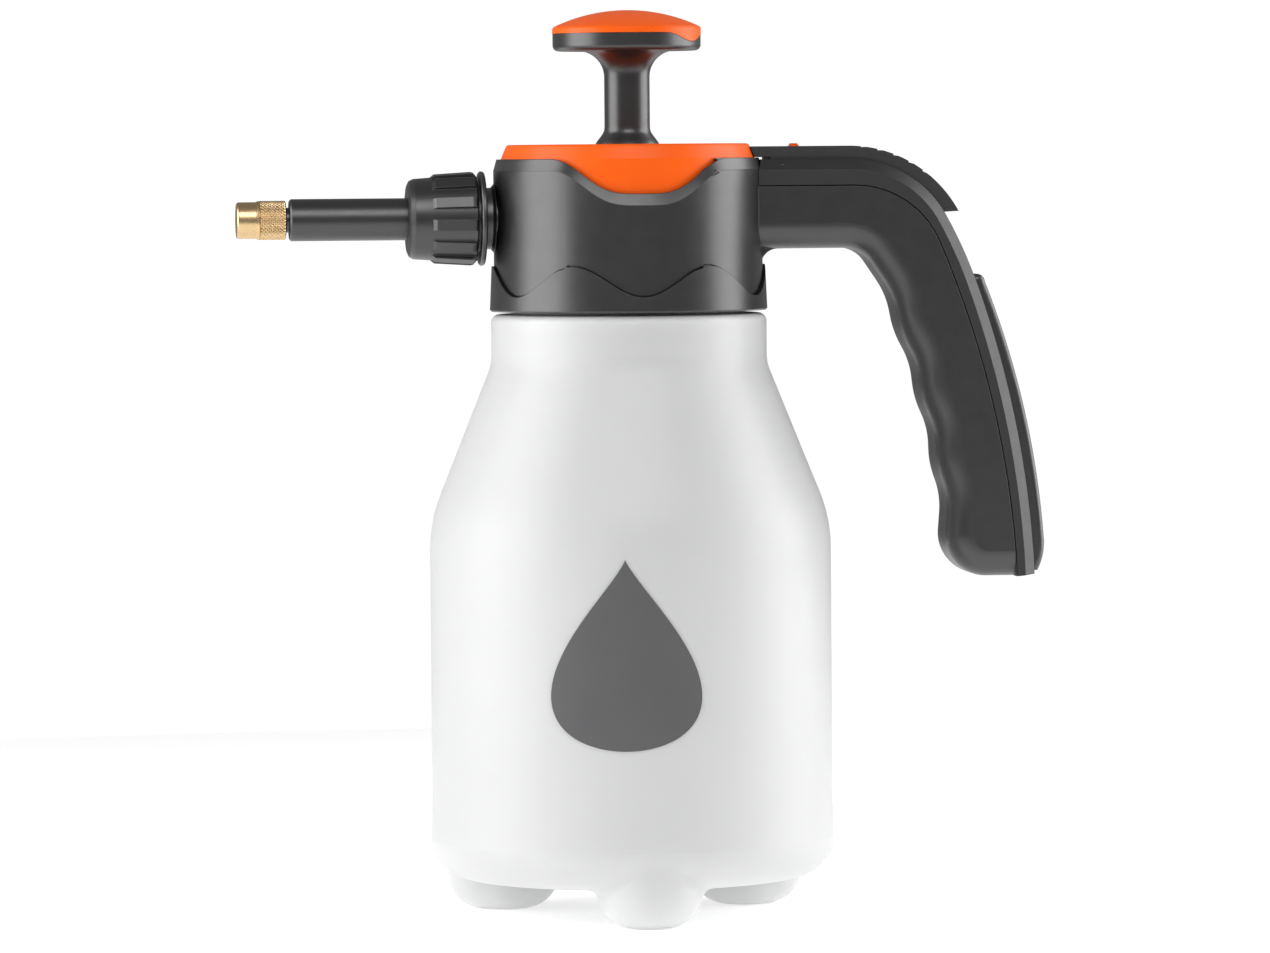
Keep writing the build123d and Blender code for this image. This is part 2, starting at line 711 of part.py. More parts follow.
with BuildPart() as piston_seal:
    revolve(
        upright_face(
            (RING_GROOVE_R + 0.05, GROOVE_Z + 0.1), (BARREL_BORE_R - 0.6, GROOVE_Z + 0.1),
            (BARREL_BORE_R - 0.05, GROOVE_Z + 0.8), (BARREL_BORE_R - 0.05, GROOVE_Z + GROOVE_H - 0.8),
            (BARREL_BORE_R - 0.6, GROOVE_Z + GROOVE_H - 0.1),
            (RING_GROOVE_R + 0.05, GROOVE_Z + GROOVE_H - 0.1),
        ),
        axis=Axis.Z,
    )
save(piston_seal, "piston_seal")

FLARE_Z = 246.6
FLARE_BASE_R = 11.6
LIP_DEPTH = 2.7
LIP_HALF_ANGLE = 29.0
LIP_ANGLES = (-35.5, 144.5)
LIP_T = 1.2

def lip(angle, outer_r, inner_r, depth, half_angle):
    """Rounded tab of a ring wall that hangs below the knob's parting line."""
    with BuildPart() as tab:
        with Locations((0, 0, KNOB_SPLIT_Z - depth - 1)):
            Cylinder(outer_r, depth + 1, align=UP)
            Cylinder(inner_r, depth + 1, align=UP, mode=Mode.SUBTRACT)
        extrude(
            wave_face(angle, KNOB_R, KNOB_SPLIT_Z, depth, half_angle),
            amount=60,
            mode=Mode.INTERSECT,
        )
    return tab.part


with BuildPart() as pump_knob:
    with BuildSketch(Plane.XZ):
        with BuildLine():
            base = Line((ROD_R, REST_Z + 0.3), (FLARE_BASE_R, REST_Z + 0.3))
            flare = Spline(
                base @ 1, (9.8, 243), (STEM_R + 0.35, FLARE_Z - 0.3), (STEM_R, FLARE_Z + 2.5),
                tangents=[(-0.15, 1), (0, 1)],
            )
            FilletPolyline(
                flare @ 1, (STEM_R, KNOB_Z), (KNOB_R, KNOB_Z), (KNOB_R, KNOB_SPLIT_Z),
                radius=[8.2, 1.8],
            )
            Polyline(
                (KNOB_R, KNOB_SPLIT_Z), (0, KNOB_SPLIT_Z), (0, ROD_TOP_Z), (ROD_R, ROD_TOP_Z),
                (ROD_R, REST_Z + 0.3),
            )
        make_face()
    revolve(axis=Axis.Z)
    for at in LIP_ANGLES:
        add(
            lip(at, KNOB_R + 1, KNOB_R - LIP_T - 0.05, LIP_DEPTH + 0.1, LIP_HALF_ANGLE + 0.4),
            mode=Mode.SUBTRACT,
        )
save(pump_knob, "pump_knob")

DOME_R = 53.6
CAP_EDGE_X = KNOB_R - 0.3
CAP_EDGE_Z = KNOB_TOP_Z - DOME_R + sqrt(DOME_R**2 - CAP_EDGE_X**2)
with BuildPart() as knob_cap:
    with BuildSketch(Plane.XZ):
        with BuildLine():
            Polyline(
                (0, KNOB_TOP_Z), (0, KNOB_SPLIT_Z), (KNOB_R + 0.1, KNOB_SPLIT_Z),
                (KNOB_R + 0.1, KNOB_SPLIT_Z + 1.5), (CAP_EDGE_X, CAP_EDGE_Z),
            )
            RadiusArc((0, KNOB_TOP_Z), (CAP_EDGE_X, CAP_EDGE_Z), DOME_R)
        make_face()
    revolve(axis=Axis.Z)
    for at in LIP_ANGLES:
        add(lip(at, KNOB_R + 0.1, KNOB_R - LIP_T, LIP_DEPTH, LIP_HALF_ANGLE))
save(knob_cap, "knob_cap")

# ---- dip tube and strainer ----
with BuildPart() as dip_tube:
    with Locations((DIP_X, 0, DIP_END_Z)):
        Cylinder(3.0, DECK_Z - 0.5 - DIP_END_Z, align=UP)
        Cylinder(2.05, DECK_Z - 0.5 - DIP_END_Z, align=UP, mode=Mode.SUBTRACT)
save(dip_tube, "dip_tube")

with BuildPart() as strainer:
    with Locations((DIP_X, 0, DIP_END_Z - 4)):
        Cylinder(4.6, 12, align=UP)
    with Locations((DIP_X, 0, DIP_END_Z)):
        Cylinder(3.0, 8, align=UP, mode=Mode.SUBTRACT)
    with Locations((DIP_X, 0, DIP_END_Z - 2.6)):
        Cylinder(3.6, 2.6, align=UP, mode=Mode.SUBTRACT)
    for turn_by in (0, 60, 120):
        with Locations(Location((DIP_X, 0, DIP_END_Z - 1.3), (0, 0, turn_by))):
            Box(12, 1.2, 1.8, mode=Mode.SUBTRACT)
save(strainer, "strainer")

# ---- spray valve in the bridge of the handle ----
BODY_Z = 211.7
BARB_X = VALVE_X - 3.5
with BuildPart() as valve_body:
    section = [
        (0, BODY_Z), (6.5, BODY_Z), (6.5, 226.5), (1.55, 226.5), (1.55, 222.5), (4, 222.5),
        (4, 218), (2.6, 218), (2.6, 217), (4.5, 217), (4.5, 212.7), (0, 212.7),
    ]
    revolve(
        upright_face(*[(VALVE_X + r, z) for r, z in section]),
        axis=Axis((VALVE_X, 0, 0), (0, 0, 1)),
    )
    for z in (INLET_Z, NOZZLE_Z):
        with BuildSketch(Plane(origin=(BARB_X - 2, 0, z), z_dir=(-1, 0, 0))):
            Circle(TUBE_BORE_R)
        extrude(amount=5)
        with BuildSketch(Plane(origin=(BARB_X, 0, z), z_dir=(-1, 0, 0))):
            Circle(BARB_BORE_R)
        extrude(amount=8, mode=Mode.SUBTRACT)
save(valve_body, "valve_body")

POPPET_Z = 215.0
with BuildPart() as valve_stem:
    with Locations((VALVE_X, 0, POPPET_Z - 0.8)):
        Cylinder(1.5, 236.2 - POPPET_Z + 0.8, align=UP)
    with Locations((VALVE_X, 0, POPPET_Z)):
        Cylinder(3.9, 0.8, align=UP)
save(valve_stem, "valve_stem")

with BuildPart() as valve_seal:
    with Locations((VALVE_X, 0, POPPET_Z + 0.8)):
        Cylinder(3.8, 1.15, align=UP)
        Cylinder(1.5, 1.15, align=UP, mode=Mode.SUBTRACT)
save(valve_seal, "valve_seal")


def spring(x, y, low_z, height, coil_r, wire_r, turns):
    with BuildPart() as coil:
        with BuildLine() as run:
            Helix(pitch=(height - 2 * wire_r) / turns, height=height - 2 * wire_r, radius=coil_r,
                  center=(x, y, low_z + wire_r))
        with BuildSketch(Plane(run.line @ 0, z_dir=run.line % 0)):
            Circle(wire_r)
        sweep(is_frenet=True)
    return coil


valve_spring = spring(VALVE_X, 0, 212.7, POPPET_Z - 212.75, 3.3, 0.3, 2)
save(valve_spring, "valve_spring")

# ---- hoses inside the head ----
with BuildLine(Plane.XZ) as feed_run:
    FilletPolyline(
        (DIP_X, SEAT_Z + 0.1), (DIP_X, INLET_Z), (VALVE_X - 6.6, INLET_Z), radius=2.6
    )
feed_tube = tube_along(feed_run.line, TUBE_R, TUBE_BORE_R)
save(feed_tube, "feed_tube")

HOSE_FRONT_Y = -25.0
OUTLET_BARB_X = -34.0
with BuildLine(Plane.XY.offset(NOZZLE_Z)) as delivery_run:
    FilletPolyline(
        (VALVE_X - 6.6, 0), (30, 0), (19, HOSE_FRONT_Y), (-17, HOSE_FRONT_Y), (-25, 0),
        (OUTLET_BARB_X - 4, 0), radius=6,
    )
delivery_tube = tube_along(delivery_run.line, TUBE_R, TUBE_BORE_R)
save(delivery_tube, "delivery_tube")

# ---- outlet, union nut, lance ----
FLANGE_X = -47.2
SPIGOT_END_X = -62.0
SPIGOT_R = 10.5
SPIGOT_BORE_R = 6.65
LANCE_BORE_R = 2.0

with BuildPart() as outlet_fitting:
    revolve(
        along_nozzle(
            (OUTLET_BARB_X, BARB_BORE_R), (OUTLET_BARB_X, TUBE_BORE_R), (-39.9, TUBE_BORE_R), (-39.9, 7),
            (-42.45, 7), (-42.45, 10.8), (-43.4, 9.7), (-45.6, 9.5), (-45.6, 14.4), (-46.0, 14.8),
            (-46.8, 14.8), (FLANGE_X, 14.4), (FLANGE_X, SPIGOT_R), (SPIGOT_END_X, SPIGOT_R),
            (SPIGOT_END_X, SPIGOT_BORE_R), (-50, SPIGOT_BORE_R), (-50, LANCE_BORE_R),
            (-44, LANCE_BORE_R), (-44, BARB_BORE_R),
        ),
        axis=NOZZLE_AXIS,
    )
save(outlet_fitting, "outlet_fitting")

with BuildPart() as outlet_o_ring:
    revolve(along_nozzle((-50.1, 5.2), (-50.1, 6.6), (-51.4, 6.6), (-51.4, 5.2)), axis=NOZZLE_AXIS)
save(outlet_o_ring, "outlet_o_ring")

NUT_BORE_R = SPIGOT_R + 0.3
RIB_W = 3.4
RIB_X = -62.5
with BuildPart() as union_nut:
    revolve(
        along_nozzle(
            (NUT_FACE_X, LANCE_R + 0.15), (NUT_FACE_X, 10.6), (NUT_FACE_X + 0.6, 11.9),
            (NUT_FACE_X + 1.9, 12.6), (RIB_X, 13.0), (NUT_END_X - 0.5, 13.5), (NUT_END_X, 13.0),
            (NUT_END_X, NUT_BORE_R), (-66.2, NUT_BORE_R), (-66.2, LANCE_R + 0.15),
        ),
        axis=NOZZLE_AXIS,
    )
    for i in range(NUT_RIBS):
        rib_plane = nozzle_plane(i * 360 / NUT_RIBS + 8)
        with BuildSketch(rib_plane):
            with BuildLine():
                Polyline(
                    (RIB_X, 12), (RIB_X, 13.0), (RIB_X + 1.2, 13.9), (NUT_END_X - 1.9, 14.6),
                    (NUT_END_X - 0.9, 14.4), (NUT_END_X, 13.4), (NUT_END_X, 12), close=True,
                )
            make_face()
        extrude(amount=RIB_W / 2, both=True)
save(union_nut, "union_nut")

POST_R = 3.9
COLLAR_R = 9.6
with BuildPart() as lance_tube:
    revolve(
        along_nozzle(
            (-52, LANCE_BORE_R), (-52, LANCE_R), (-54.4, LANCE_R), (-54.4, 5.2), (-56.2, 5.2),
            (-56.2, LANCE_R), (SPIGOT_END_X - 0.3, LANCE_R), (SPIGOT_END_X - 0.3, COLLAR_R),
            (-65.9, COLLAR_R), (-65.9, LANCE_R), (-106.2, LANCE_R), (LANCE_TIP_X, LANCE_R - 0.6),
            (LANCE_TIP_X, POST_R), (-117, POST_R), (-117, LANCE_BORE_R),
        ),
        axis=NOZZLE_AXIS,
    )
save(lance_tube, "lance_tube")

with BuildPart() as lance_o_ring:
    revolve(
        along_nozzle((-54.5, 5.2), (-54.5, 6.55), (-56.1, 6.55), (-56.1, 5.2)), axis=NOZZLE_AXIS
    )
save(lance_o_ring, "lance_o_ring")

with BuildPart() as swirl_core:
    revolve(
        along_nozzle(
            (-111, 0), (-111, 1.4), (-117, 1.4), (-117, 2.6), (-118.5, 2.6), (-119.5, 1.2), (-119.5, 0)
        ),
        axis=NOZZLE_AXIS,
    )
save(swirl_core, "swirl_core")

NOZZLE_BACK_X = -107.9
NOZZLE_TIP_X = -123.4
with BuildPart() as nozzle_cap:
    revolve(
        along_nozzle(
            (NOZZLE_BACK_X, POST_R + 0.05), (NOZZLE_BACK_X, 5.8), (NOZZLE_BACK_X - 0.4, 6.2),
            (-116.1, 6.2), (-116.5, 5.75), (NOZZLE_TIP_X + 0.8, 5.75), (NOZZLE_TIP_X, 4.95),
            (NOZZLE_TIP_X, 2.4), (NOZZLE_TIP_X + 1, 0.5), (-120.7, 0.5), (-120.7, POST_R + 0.05),
            (-113.6, POST_R + 0.05), (-113.6, 4.95), (-111.4, 4.95), (-111.4, POST_R + 0.05),
        ),
        axis=NOZZLE_AXIS,
    )
save(nozzle_cap, "nozzle_cap")

with BuildPart() as nozzle_o_ring:
    revolve(
        along_nozzle(
            (-111.5, POST_R + 0.05), (-111.5, 4.9), (-113.5, 4.9), (-113.5, POST_R + 0.05)
        ),
        axis=NOZZLE_AXIS,
    )
save(nozzle_o_ring, "nozzle_o_ring")

# ---- trigger, its pin and its lock ----
TRIGGER_ARC_R = 39.8
TRIGGER_ARC_X = 68.8
NOSE_X = 36.0
NOSE_GAP = 0.35
RIDGE_COUNT = 5
RIDGE_START = 5.9
RIDGE_STEP = 7.7
LOCK_W = 8.0
LOCK_X = 49.3
LOCK_L = 6.6
LOCK_TRAVEL = 5.0
LOCK_T = 1.2

with BuildPart() as trigger:
    with BuildSketch(side_plane(TRIGGER_W)):
        with BuildLine():
            Line((NOSE_X, TRIGGER_Z), (TRIGGER_ARC_X, TRIGGER_Z))
            outside = JernArc(
                start=(TRIGGER_ARC_X, TRIGGER_Z), tangent=(1, 0), radius=TRIGGER_ARC_R, arc_size=-61.5
            )
            inside = JernArc(
                start=(TRIGGER_ARC_X, TRIGGER_Z - TRIGGER_T), tangent=(1, 0),
                radius=TRIGGER_ARC_R - TRIGGER_T, arc_size=-57.5,
            )
            Line(outside @ 1, inside @ 1)
            Line((TRIGGER_ARC_X, TRIGGER_Z - TRIGGER_T), (44, TRIGGER_Z - TRIGGER_T))
            Line((44, TRIGGER_Z - TRIGGER_T), (44, RIM_Z + 0.1))
            Line((44, RIM_Z + 0.1), (NOSE_X, RIM_Z + 0.1))
            Line((NOSE_X, RIM_Z + 0.1), (NOSE_X, TRIGGER_Z))
        make_face()
    extrude(amount=TRIGGER_W)
    # hollow nose, which follows the cover's edge at a small gap
    revolve(
        upright_face(
            (0, RIM_Z - 3), (HEAD_BORE_R - 0.2 + NOSE_GAP, RIM_Z - 3), (HEAD_BORE_R - 0.2 + NOSE_GAP, RIM_Z),
            (COVER_TOP_R + 0.4 + NOSE_GAP, COVER_TOP_Z - 0.8), (COVER_TOP_R + NOSE_GAP, COVER_TOP_Z + 1),
            (0, COVER_TOP_Z + 1),
        ),
        axis=Axis.Z,
        mode=Mode.SUBTRACT,
    )
    with Locations((PIVOT_X, 0, PIVOT_Z)):
        Cylinder(3.2, TRIGGER_W, rotation=(90, 0, 0))
        Cylinder(PIN_R + 0.05, TRIGGER_W, rotation=(90, 0, 0), mode=Mode.SUBTRACT)
    # steps for the thumb
    for i in range(RIDGE_COUNT):
        a = radians(RIDGE_START + i * RIDGE_STEP)
        step = Plane(
            origin=(
                TRIGGER_ARC_X + TRIGGER_ARC_R * sin(a), TRIGGER_W / 2,
                TRIGGER_Z - TRIGGER_ARC_R * (1 - cos(a)),
            ),
            x_dir=(cos(a), 0, -sin(a)),
            z_dir=(0, -1, 0),
        )
        with BuildSketch(step):
            with BuildLine():
                Polyline((-0.1, 0.4), (-0.1, -0.4), (2.2, 0.05), (2.2, 0.4), close=True)
            make_face()
        extrude(amount=TRIGGER_W, mode=Mode.SUBTRACT)
    # seat of the lock
    with Locations((LOCK_X - LOCK_TRAVEL - 0.1, 0, TRIGGER_Z - LOCK_T - 0.1)):
        Box(
            LOCK_L + LOCK_TRAVEL + 0.2, LOCK_W + 0.2, 4,
            align=(Align.MIN, Align.CENTER, Align.MIN), mode=Mode.SUBTRACT,
        )
save(trigger, "trigger")

with BuildPart() as trigger_lock:
    with Locations((LOCK_X, 0, TRIGGER_Z - LOCK_T)):
        Box(LOCK_L, LOCK_W, LOCK_T, align=(Align.MIN, Align.CENTER, Align.MIN))
    with BuildSketch(side_plane(LOCK_W - 1)):
        with BuildLine():
            Polyline(
                (51.3, TRIGGER_Z - 0.1), (52.0, TRIGGER_Z + 0.9), (53.4, TRIGGER_Z + 0.9),
                (54.1, TRIGGER_Z - 0.1), close=True,
            )
        make_face()
    extrude(amount=LOCK_W - 1)
save(trigger_lock, "trigger_lock")

with BuildPart() as trigger_pin:
    with Locations((PIVOT_X, 0, PIVOT_Z)):
        Cylinder(PIN_R, HANDLE_W - 4, rotation=(90, 0, 0))
save(trigger_pin, "trigger_pin")

# ---- pressure relief valve ----
with BuildPart() as relief_body:
    with Locations((RELIEF_X, RELIEF_Y, SEAT_Z)):
        Cylinder(4.6, 17, align=UP)
        Cylinder(3.5, 15, align=UP, mode=Mode.SUBTRACT)
        Cylinder(1.4, 17, align=UP, mode=Mode.SUBTRACT)
    with Locations((RELIEF_X, RELIEF_Y, SEAT_Z + 5)):
        Box(12, 1.6, 2.4, mode=Mode.SUBTRACT)
save(relief_body, "relief_body")

RELIEF_SEAL_T = 1.6
with BuildPart() as relief_seal:
    with Locations((RELIEF_X, RELIEF_Y, SEAT_Z)):
        Cylinder(2.8, RELIEF_SEAL_T, align=UP)
save(relief_seal, "relief_seal")

with BuildPart() as relief_knob:
    with Locations((RELIEF_X, RELIEF_Y, SEAT_Z + RELIEF_SEAL_T)):
        Cylinder(3.2, 1.2, align=UP)
        Cylinder(1.3, 236 - SEAT_Z - RELIEF_SEAL_T, align=UP)
    with Locations((RELIEF_X, RELIEF_Y, DISH_Z + 0.8)):
        Cylinder(6.0, 1.4, align=UP)
    with Locations((RELIEF_X, RELIEF_Y, DISH_Z + 2.2)):
        Cylinder(3.6, 1.4, align=UP)
    with Locations((RELIEF_X, RELIEF_Y, DISH_Z + 3.6)):
        Cylinder(6.0, 2.6, align=UP)
        with PolarLocations(6.3, 12):
            Cylinder(0.9, 2.6, align=UP, mode=Mode.SUBTRACT)
save(relief_knob, "relief_knob")

relief_spring = spring(
    RELIEF_X, RELIEF_Y, SEAT_Z + RELIEF_SEAL_T + 1.25, 15 - RELIEF_SEAL_T - 1.3, 2.4, 0.35, 6
)
save(relief_spring, "relief_spring")
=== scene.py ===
import json
import math

import bmesh
import bpy
from mathutils import Matrix, Vector


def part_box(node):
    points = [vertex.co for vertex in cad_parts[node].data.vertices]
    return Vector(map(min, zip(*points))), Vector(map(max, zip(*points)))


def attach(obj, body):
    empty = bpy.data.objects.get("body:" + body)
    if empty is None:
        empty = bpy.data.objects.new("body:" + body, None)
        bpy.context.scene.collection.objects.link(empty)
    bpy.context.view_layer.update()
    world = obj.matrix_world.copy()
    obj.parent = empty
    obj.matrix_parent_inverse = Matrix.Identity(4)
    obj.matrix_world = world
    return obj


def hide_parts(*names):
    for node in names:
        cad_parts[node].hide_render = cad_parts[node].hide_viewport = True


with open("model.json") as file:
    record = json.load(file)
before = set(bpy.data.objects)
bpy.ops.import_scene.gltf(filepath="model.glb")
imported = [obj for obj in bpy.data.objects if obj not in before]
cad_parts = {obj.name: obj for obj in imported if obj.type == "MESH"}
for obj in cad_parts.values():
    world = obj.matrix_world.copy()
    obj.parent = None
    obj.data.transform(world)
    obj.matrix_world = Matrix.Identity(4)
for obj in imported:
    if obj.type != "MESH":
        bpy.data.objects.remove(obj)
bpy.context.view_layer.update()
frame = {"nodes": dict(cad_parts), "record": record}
MM = 0.001
GRAIN_DEPTH = 0.05 * MM
EDGE_ROUND = 0.3 * MM
GRAIN_SCALE = 2600


# ---- node helpers ----
def new_material(name):
    """Node material with a Principled shader: the material, its node tree and the shader."""
    mat = bpy.data.materials.new(name)
    mat.use_nodes = True
    tree = mat.node_tree
    return mat, tree, tree.nodes["Principled BSDF"]


def noise(tree, scale, detail):
    """Noise in object space, so that it stays with the piece."""
    where = tree.nodes.new("ShaderNodeTexCoord")
    node = tree.nodes.new("ShaderNodeTexNoise")
    node.inputs["Scale"].default_value = scale
    node.inputs["Detail"].default_value = detail
    tree.links.new(where.outputs["Object"], node.inputs["Vector"])
    return node.outputs["Fac"]


def ramp(tree, value, low, high):
    """Maps 0..1 to the range low..high."""
    node = tree.nodes.new("ShaderNodeMapRange")
    node.inputs["To Min"].default_value = low
    node.inputs["To Max"].default_value = high
    tree.links.new(value, node.inputs["Value"])
    return node.outputs["Result"]


def two_tone(tree, value, first, second):
    """Colour that runs between two tones with a value from 0 to 1."""
    node = tree.nodes.new("ShaderNodeMix")
    node.data_type = "RGBA"
    node.inputs["A"].default_value = (*first, 1)
    node.inputs["B"].default_value = (*second, 1)
    tree.links.new(value, node.inputs["Factor"])
    return node.outputs["Result"]


def bump(tree, height, strength, distance, edge=0.0):
    """Bump, over slightly rounded edges where an edge radius is given."""
    node = tree.nodes.new("ShaderNodeBump")
    if edge:
        rounded = tree.nodes.new("ShaderNodeBevel")
        rounded.samples = 4
        rounded.inputs["Radius"].default_value = edge
        tree.links.new(rounded.outputs["Normal"], node.inputs["Normal"])
    node.inputs["Strength"].default_value = strength
    node.inputs["Distance"].default_value = distance
    tree.links.new(height, node.inputs["Height"])
    return node.outputs["Normal"]


def moulded(name, dark, light, rough, grain=0.25, specular=1.0):
    """Moulded plastic: a fine spark-eroded grain, cloudy gloss and a slight unevenness of colour."""
    mat, tree, shader = new_material(name)
    cloud = two_tone(tree, noise(tree, 60, 4), dark, light)
    gloss = ramp(tree, noise(tree, 220, 3), rough - 0.05, rough + 0.05)
    skin = bump(tree, noise(tree, GRAIN_SCALE, 2), grain, GRAIN_DEPTH, EDGE_ROUND)
    tree.links.new(cloud, shader.inputs["Base Color"])
    tree.links.new(gloss, shader.inputs["Roughness"])
    tree.links.new(skin, shader.inputs["Normal"])
    shader.inputs["Specular IOR Level"].default_value = specular
    return mat


def milky(name, dark, light):
    """Blow-moulded polyethylene: light goes a little way in, and the skin has faint long waves."""
    mat, tree, shader = new_material(name)
    cloud = two_tone(tree, noise(tree, 25, 3), dark, light)
    gloss = ramp(tree, noise(tree, 140, 3), 0.36, 0.44)
    waves = bump(tree, noise(tree, 90, 4), 0.10, 0.3 * MM)
    tree.links.new(cloud, shader.inputs["Base Color"])
    tree.links.new(gloss, shader.inputs["Roughness"])
    tree.links.new(waves, shader.inputs["Normal"])
    shader.inputs["Subsurface Weight"].default_value = 0.75
    shader.inputs["Subsurface Radius"].default_value = (1.0, 1.0, 1.0)
    shader.inputs["Subsurface Scale"].default_value = 6 * MM
    return mat


def metal(name, dark, light, rough):
    """Turned metal: fine rings of the lathe across the X axis and slight tarnish."""
    mat, tree, shader = new_material(name)
    tarnish = two_tone(tree, noise(tree, 180, 4), dark, light)
    gloss = ramp(tree, noise(tree, 900, 3), rough - 0.05, rough + 0.08)
    tree.links.new(tarnish, shader.inputs["Base Color"])
    tree.links.new(gloss, shader.inputs["Roughness"])
    shader.inputs["Metallic"].default_value = 1.0
    where = tree.nodes.new("ShaderNodeTexCoord")
    lathe = tree.nodes.new("ShaderNodeTexWave")
    lathe.bands_direction = "X"
    lathe.inputs["Scale"].default_value = 1400
    lathe.inputs["Distortion"].default_value = 1.0
    tree.links.new(where.outputs["Object"], lathe.inputs["Vector"])
    rings = bump(tree, lathe.outputs["Fac"], 0.08, 0.04 * MM)
    tree.links.new(rings, shader.inputs["Normal"])
    return mat


def rubber(name, dark, light):
    """Dull black rubber with a fine uneven skin."""
    mat, tree, shader = new_material(name)
    cloud = two_tone(tree, noise(tree, 300, 3), dark, light)
    gloss = ramp(tree, noise(tree, 700, 3), 0.55, 0.75)
    skin = bump(tree, noise(tree, 1800, 2), 0.3, 0.04 * MM)
    tree.links.new(cloud, shader.inputs["Base Color"])
    tree.links.new(gloss, shader.inputs["Roughness"])
    tree.links.new(skin, shader.inputs["Normal"])
    return mat


# each material runs between two tones
MILK = ((0.655, 0.658, 0.661), (0.685, 0.687, 0.689))
DARK = ((0.009, 0.009, 0.0095), (0.012, 0.012, 0.0125))
BLACK = ((0.005, 0.005, 0.0055), (0.008, 0.008, 0.0085))
ORANGE = ((0.96, 0.112, 0.0005), (1.0, 0.125, 0.0005))
PALE = ((0.68, 0.68, 0.66), (0.76, 0.76, 0.74))
INK = ((0.085, 0.085, 0.088), (0.10, 0.10, 0.103))
RUBBER = ((0.012, 0.012, 0.013), (0.03, 0.03, 0.031))
STEEL = ((0.50, 0.50, 0.50), (0.62, 0.62, 0.61))
BRASS = ((0.66, 0.46, 0.24), (0.76, 0.56, 0.32))
materials = {
    "tank_plastic": milky("tank_plastic", *MILK),
    "dark_plastic": moulded("dark_plastic", *DARK, 0.34),
    "black_plastic": moulded("black_plastic", *BLACK, 0.42),
    "spine_plastic": moulded("spine_plastic", *DARK, 0.50, specular=0.7),
    "orange_plastic": moulded("orange_plastic", *ORANGE, 0.40, grain=0.12, specular=0.3),
    "pale_plastic": moulded("pale_plastic", *PALE, 0.35, grain=0.1),
    "ink": moulded("ink", *INK, 0.5, grain=0.1, specular=0.5),
    "rubber": rubber("rubber", *RUBBER),
    "steel": metal("steel", *STEEL, 0.3),
    "brass": metal("brass", *BRASS, 0.27),
}
slot_of = {s["node"]: s["material_slot"] for s in frame["record"]["subparts"]}


def dress(obj, mat):
    """Gives an object one material and no other."""
    obj.data.materials.clear()
    obj.data.materials.append(mat)


for node, obj in frame["nodes"].items():
    dress(obj, materials[slot_of[node]])
dress(frame["nodes"]["handle_spine"], materials["spine_plastic"])


# ---- mesh helpers ----
def add_piece(name, points, faces, body, slot, mat, crease_deg=35):
    """Closed mesh of points in metres that rides on a body; edges sharper than the crease stay crisp."""
    mesh = bpy.data.meshes.new(name)
    mesh.from_pydata(points, [], faces)
    shape = bmesh.new()
    shape.from_mesh(mesh)
    bmesh.ops.remove_doubles(shape, verts=shape.verts, dist=1e-7)
    bmesh.ops.recalc_face_normals(shape, faces=shape.faces)
    for face in shape.faces:
        face.smooth = True
    for edge in shape.edges:
        if len(edge.link_faces) == 2 and edge.calc_face_angle(0) > math.radians(crease_deg):
            edge.smooth = False
    shape.to_mesh(mesh)
    shape.free()
    obj = bpy.data.objects.new(name, mesh)
    bpy.context.scene.collection.objects.link(obj)
    dress(obj, mat)
    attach(obj, body)
    return obj


def loops(rings):
    """Quads between closed rings of points, each ring to the next and the last to the first."""
    count = len(rings[0])
    points = [p for ring in rings for p in ring]
    faces = []
    for i in range(len(rings)):
        j = (i + 1) % len(rings)
        for k in range(count):
            m = (k + 1) % count
            faces.append((i * count + k, i * count + m, j * count + m, j * count + k))
    return points, faces


# ---- sloped edge all round the head's rim, on the rebate of the housing ----
HEAD_R = 42.3
REBATE_R = 41.2
REBATE_H = 3.6
DIP_DEPTH = 10.9
DIP_HALF_ANGLE = math.radians(40.5)
RIM_Z = 238.0
RIM_STEPS = 360
RIM_CREASE = 15
# the ring stands a little proud of the housing's wall and laps over the edge of the rebate
RIM_LIP = 0.03
RIM_LAP = 0.25


def rim_z(angle, radius):
    """Height of the rim at an angle: level, with a full wave at the front and at the back."""
    across = math.asin(max(-1, min(1, radius * math.cos(angle) / HEAD_R)))
    if abs(across) > DIP_HALF_ANGLE:
        return RIM_Z
    wave = (1 + math.cos(math.pi * across / DIP_HALF_ANGLE)) / 2
    return RIM_Z - DIP_DEPTH * math.sin(math.pi / 2 * wave)


rim_section = [
    (REBATE_R, 0.0),
    (REBATE_R + 0.12, -0.1),
    (HEAD_R - 0.05, -REBATE_H + 0.2),
    (HEAD_R + RIM_LIP, -REBATE_H),
    (HEAD_R + RIM_LIP, -REBATE_H - RIM_LAP),
    (REBATE_R, -REBATE_H - RIM_LAP),
]
rim_rings = []
for radius, drop in rim_section:
    ring = []
    for i in range(RIM_STEPS):
        angle = 2 * math.pi * i / RIM_STEPS
        height = rim_z(angle, radius) + drop
        ring.append((radius * math.cos(angle) * MM, radius * math.sin(angle) * MM, height * MM))
    rim_rings.append(ring)
add_piece(
    "rim_slope", *loops(rim_rings), "head", "dark_plastic", materials["dark_plastic"], RIM_CREASE
)

